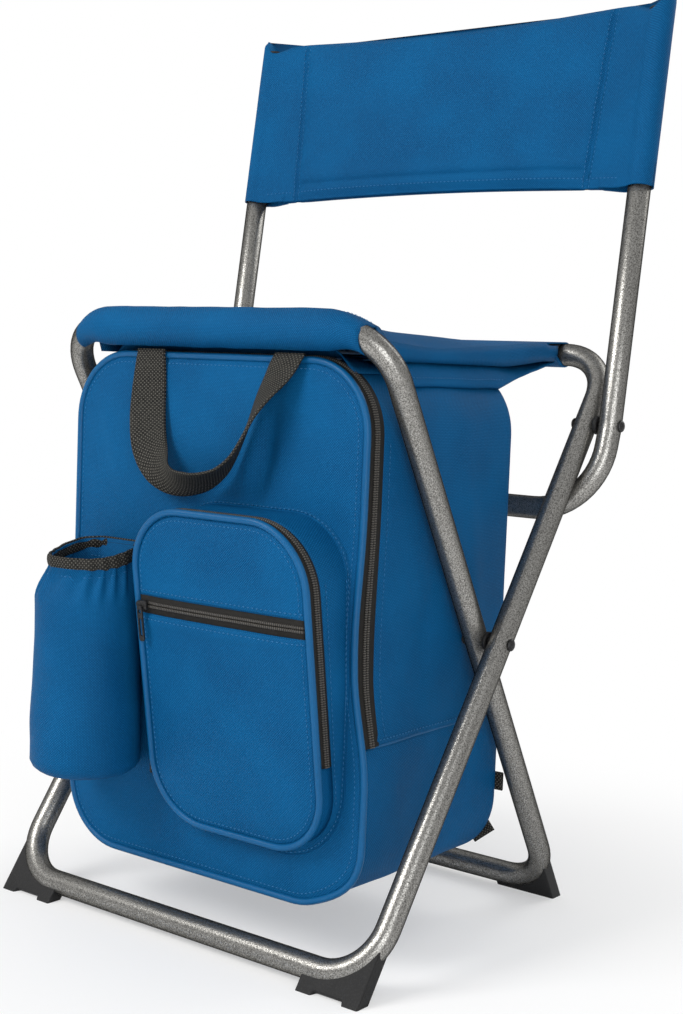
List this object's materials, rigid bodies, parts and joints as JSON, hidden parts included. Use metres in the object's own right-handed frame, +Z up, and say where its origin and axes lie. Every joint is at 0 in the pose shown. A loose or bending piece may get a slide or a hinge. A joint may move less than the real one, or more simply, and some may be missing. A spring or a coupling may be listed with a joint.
{
  "type": "folding cooler stool",
  "caption": "Folding steel-tube stool with a cloth seat, a folding backrest and an insulated zip bag with front and bottle pockets hanging under the seat.",
  "frame": {"origin": "middle of the stool's box on the floor", "axes": "+Z up; -Y to the front, where the pockets are; +X to the right-hand side of a viewer in front"},
  "size_m": [0.37, 0.3379, 0.642],
  "materials": {
    "frame_paint": "speckled grey-bronze hammered paint",
    "black_plastic": "moulded, fine grain",
    "rivet_black": "satin",
    "blue_cloth": "coated woven polyester",
    "black_webbing": "ribbed woven band",
    "zip_tape": "woven tape with a coil",
    "zip_metal": "satin",
    "foam": "closed-cell foam",
    "lining": "smooth coated foil"
  },
  "bodies": {
    "front_leg_frame": {"front_leg_tube": "frame_paint", "rear_seat_bar": "frame_paint", "foot_front_left": "black_plastic", "foot_front_right": "black_plastic", "pivot_rivet_left": "rivet_black", "pivot_rivet_right": "rivet_black", "pivot_spacer_left": "black_plastic", "pivot_spacer_right": "black_plastic", "backrest_rivet_left": "rivet_black", "backrest_rivet_right": "rivet_black", "backrest_spacer_left": "black_plastic", "backrest_spacer_right": "black_plastic", "seat_sling": "blue_cloth", "bag_hanger": "blue_cloth"},
    "rear_leg_frame": {"rear_leg_tube": "frame_paint", "front_seat_bar": "frame_paint", "foot_rear_left": "black_plastic", "foot_rear_right": "black_plastic", "front_bar_foam": "foam"},
    "backrest": {"backrest_tube": "frame_paint", "post_plug_left": "black_plastic", "post_plug_right": "black_plastic", "backrest_cover": "blue_cloth", "backrest_foam": "foam"},
    "bag": {"bag_upper_gusset": "blue_cloth", "bag_base_gusset": "blue_cloth", "bag_back_panel": "blue_cloth", "insulation_shell": "foam", "bag_liner": "lining", "main_zip_tape": "zip_tape", "shoulder_strap_left": "black_webbing", "shoulder_strap_right": "black_webbing", "strap_buckle_left": "black_plastic", "strap_buckle_right": "black_plastic", "strap_tail_left": "black_webbing", "strap_tail_right": "black_webbing", "strap_anchor_left": "black_webbing", "strap_anchor_right": "black_webbing"},
    "cooler_front": {"front_panel": "blue_cloth", "front_panel_piping": "blue_cloth", "front_panel_foam": "foam", "front_panel_liner": "lining", "bottle_pocket": "blue_cloth", "bottle_pocket_binding": "black_webbing", "pocket_gusset": "blue_cloth", "pocket_sill": "blue_cloth", "pocket_zip_tape": "zip_tape"},
    "handle": {"carry_handle": "black_webbing"},
    "pocket_flap": {"pocket_face": "blue_cloth", "pocket_piping": "blue_cloth", "slit_zip_tape": "zip_tape"},
    "slit_slider": {"slit_zip_slider": "zip_metal"},
    "slit_pull": {"slit_zip_pull": "zip_metal"},
    "pocket_slider": {"pocket_zip_slider": "zip_metal"},
    "pocket_pull": {"pocket_zip_pull": "zip_metal"},
    "main_slider": {"main_zip_slider": "zip_metal"},
    "main_pull": {"main_zip_pull": "zip_metal"}
  },
  "joints": [
    {"name": "frame_fold", "type": "hinge", "parent": "front_leg_frame", "child": "rear_leg_frame", "pos_m": [0, 0.01863, 0.202], "axis": [-1, 0, 0], "range_deg": [0, 58], "deforming": ["seat_sling", "bag_hanger"]},
    {"name": "backrest_fold", "type": "hinge", "parent": "front_leg_frame", "child": "backrest", "pos_m": [0, 0.11659, 0.344], "axis": [1, 0, 0], "range_deg": [0, 77]},
    {"name": "bag_swing", "type": "hinge", "parent": "front_leg_frame", "child": "bag", "pos_m": [0, 0.01863, 0.202], "axis": [-1, 0, 0], "range_deg": [0, 8.12]},
    {"name": "front_open", "type": "hinge", "parent": "bag", "child": "cooler_front", "pos_m": [0, -0.0924, 0.039], "axis": [1, 0, 0], "range_deg": [0, 45]},
    {"name": "handle_swing", "type": "hinge", "parent": "cooler_front", "child": "handle", "pos_m": [0, -0.09707, 0.3831], "axis": [-1, 0, 0], "range_deg": [0, 80]},
    {"name": "pocket_open", "type": "hinge", "parent": "cooler_front", "child": "pocket_flap", "pos_m": [0, -0.10737, 0.076], "axis": [1, 0, 0], "range_deg": [0, 60]},
    {"name": "slit_zip_run", "type": "slide", "parent": "pocket_flap", "child": "slit_slider", "axis": [1, 0, 0], "range_m": [0, 0.125]},
    {"name": "slit_pull_swing", "type": "hinge", "parent": "slit_slider", "child": "slit_pull", "pos_m": [-0.0205, -0.13724, 0.21985], "axis": [-1, 0, 0], "range_deg": [0, 80]},
    {"name": "pocket_zip_run", "type": "slide", "parent": "cooler_front", "child": "pocket_slider", "axis": [0, -0.1567, 0.9876], "range_m": [0, 0.1]},
    {"name": "pocket_pull_swing", "type": "hinge", "parent": "pocket_slider", "child": "pocket_pull", "pos_m": [-0.0301, -0.10713, 0.1268], "axis": [0, 1, 0], "range_deg": [0, 15]},
    {"name": "main_zip_run", "type": "slide", "parent": "bag", "child": "main_slider", "axis": [0, 0, 1], "range_m": [0, 0.15]},
    {"name": "main_pull_swing", "type": "hinge", "parent": "main_slider", "child": "main_pull", "pos_m": [-0.1279, -0.08522, 0.1538], "axis": [0, 1, 0], "range_deg": [0, 80]}
  ],
  "couplings": [
    {"joint": "bag_swing", "follows": "frame_fold", "ratio": 0.14}
  ]
}
